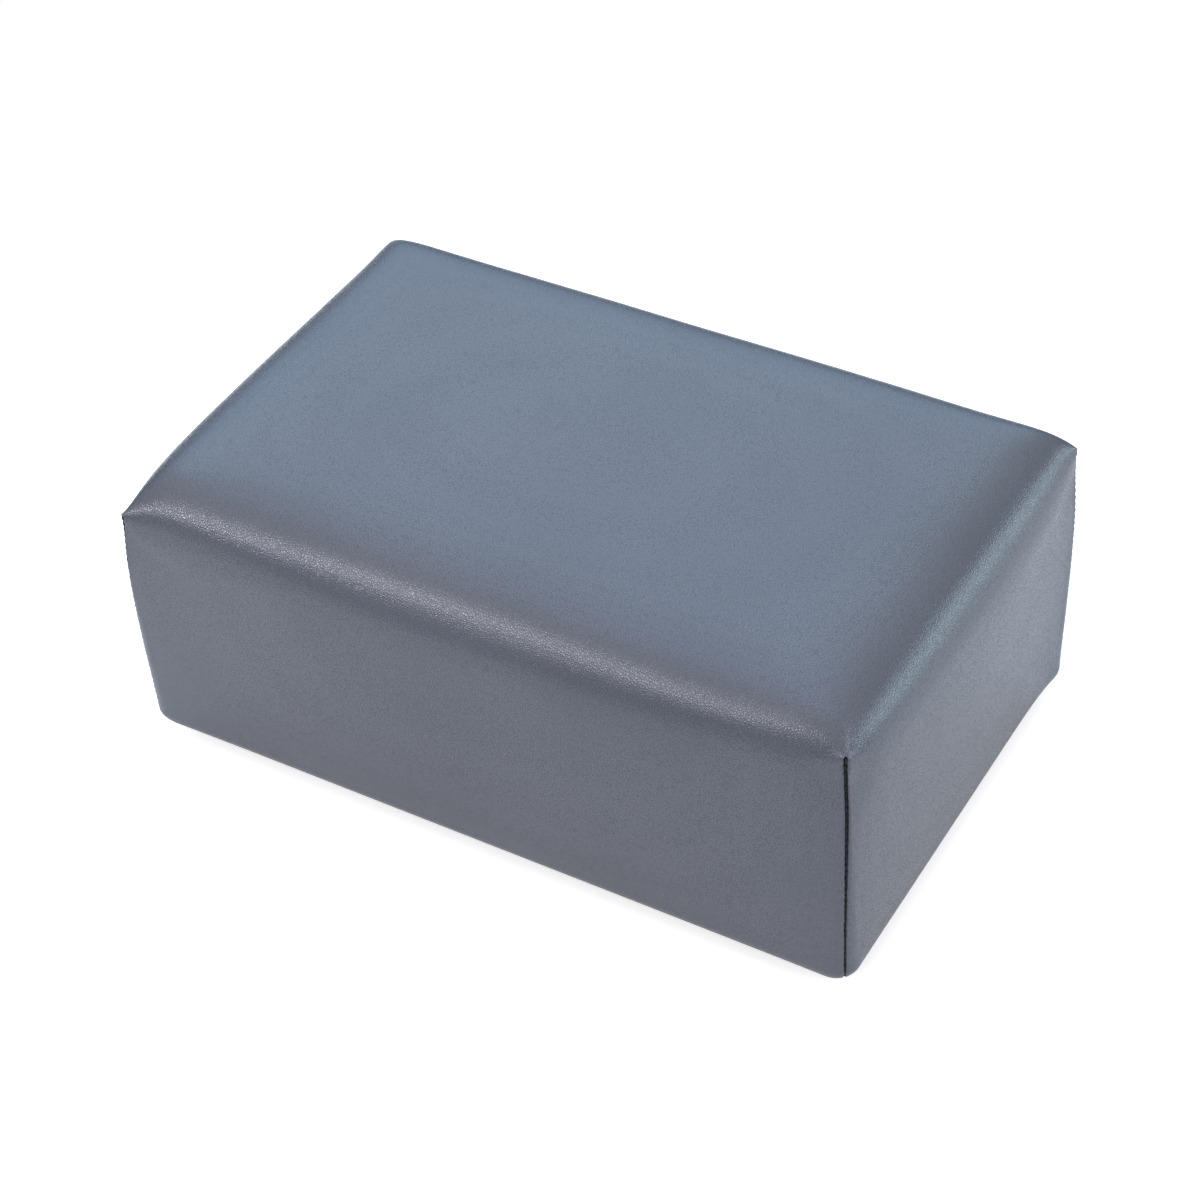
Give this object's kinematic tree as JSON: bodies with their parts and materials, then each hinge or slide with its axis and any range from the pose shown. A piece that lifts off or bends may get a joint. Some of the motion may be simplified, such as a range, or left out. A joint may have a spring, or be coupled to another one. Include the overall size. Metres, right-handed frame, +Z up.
{
  "type": "pilates sitting box",
  "caption": "Low upholstered box for sitting on in floor and reformer exercises, with a crowned foam seat, a sewn leathercloth cover with corner seams, and rubber feet.",
  "frame": {"origin": "on the floor under the middle of the box, in the plane of the feet's undersides", "axes": "+X along the length, towards the end seen on the right of the picture; +Y across the width, towards the long side that the picture doesn't show; +Z up"},
  "size_m": [0.409, 0.259, 0.1797],
  "materials": {
    "leathercloth": "satin, fine pebble grain",
    "thread": "twisted polyester",
    "foam": "open cell",
    "plywood": "bare",
    "softwood": "bare",
    "nonwoven": "matt",
    "rubber": "matt",
    "steel": "zinc plated"
  },
  "bodies": {
    "root": {"vinyl_cover": "leathercloth", "seam_thread_front_left": "thread", "seam_thread_back_left": "thread", "seam_thread_front_right": "thread", "seam_thread_back_right": "thread", "top_foam_pad": "foam", "front_foam": "foam", "back_foam": "foam", "left_end_foam": "foam", "right_end_foam": "foam", "top_deck": "plywood", "base_board": "plywood", "front_board": "plywood", "back_board": "plywood", "left_end_board": "plywood", "right_end_board": "plywood", "centre_divider": "plywood", "corner_post_front_left": "softwood", "corner_post_back_left": "softwood", "corner_post_front_right": "softwood", "corner_post_back_right": "softwood", "deck_screw_1": "steel", "deck_screw_2": "steel", "deck_screw_3": "steel", "deck_screw_4": "steel", "deck_screw_5": "steel", "deck_screw_6": "steel", "base_screw_1": "steel", "base_screw_2": "steel", "base_screw_3": "steel", "base_screw_4": "steel", "base_screw_5": "steel", "base_screw_6": "steel", "bottom_dust_cover": "nonwoven", "foot_front_left": "rubber", "foot_back_left": "rubber", "foot_front_right": "rubber", "foot_back_right": "rubber", "foot_washer_front_left": "steel", "foot_washer_back_left": "steel", "foot_washer_front_right": "steel", "foot_washer_back_right": "steel", "foot_screw_front_left": "steel", "foot_screw_back_left": "steel", "foot_screw_front_right": "steel", "foot_screw_back_right": "steel"}
  },
  "joints": []
}
